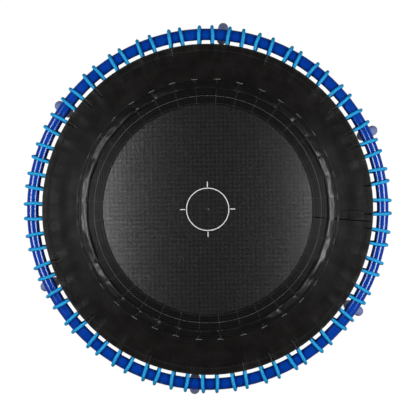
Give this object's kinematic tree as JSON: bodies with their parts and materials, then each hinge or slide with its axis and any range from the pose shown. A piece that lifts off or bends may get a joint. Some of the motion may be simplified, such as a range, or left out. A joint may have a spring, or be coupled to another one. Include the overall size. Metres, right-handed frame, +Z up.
{
  "type": "mini trampoline",
  "caption": "Round fitness trampoline: a painted steel ring on arched legs, with a woven mat and fabric skirt hung inside it on elastic cords that wrap the ring.",
  "frame": {"origin": "on the floor under the centre of the ring", "axes": "+Z up, square to the jumping surface; +X from the ring's centre through the middle of one elastic cord"},
  "size_m": [1.0086, 1.0882, 0.3302],
  "materials": {
    "ring_paint": "gloss",
    "leg_silver": "satin",
    "zinc_steel": "satin",
    "foot_rubber": "matte",
    "cord_sheath": "satin",
    "moulded_plastic": "matte",
    "webbing": "matte",
    "pale_thread": "matte",
    "coated_fabric": "satin",
    "foam": "matte",
    "skirt_fabric": "matte",
    "woven_mesh": "matte",
    "mark_ink": "matte"
  },
  "bodies": {
    "frame": {"ring_frame": "ring_paint", "leg_spigots": "ring_paint", "leg_tubes": "leg_silver", "leg_bolts": "zinc_steel", "leg_washers": "zinc_steel", "leg_nuts": "zinc_steel", "foot_tips": "foot_rubber", "foot_washers": "zinc_steel", "elastic_cords": "cord_sheath"},
    "mat_rim": {"cord_end_beads": "moulded_plastic", "cord_anchors": "moulded_plastic", "mat_links": "zinc_steel", "webbing_tabs": "webbing", "border_band": "webbing", "band_stitching": "pale_thread", "edge_roll_cover": "coated_fabric", "edge_roll_foam": "foam", "skirt": "skirt_fabric", "skirt_hem": "skirt_fabric", "skirt_lap": "skirt_fabric", "bar_tacks": "pale_thread"},
    "mat_centre": {"mat_sheet": "woven_mesh", "centre_mark": "mark_ink"}
  },
  "joints": [
    {"name": "rim_sink", "type": "slide", "parent": "frame", "child": "mat_rim", "axis": [0, 0, 1], "range_m": [-0.036, 0], "stiffness_N_per_m": 70000, "deforming": ["elastic_cords"]},
    {"name": "mat_dish", "type": "slide", "parent": "mat_rim", "child": "mat_centre", "axis": [0, 0, 1], "range_m": [-0.09, 0], "stiffness_N_per_m": 12000}
  ],
  "couplings": [
    {"joint": "rim_sink", "follows": "mat_dish", "ratio": 0.4}
  ]
}
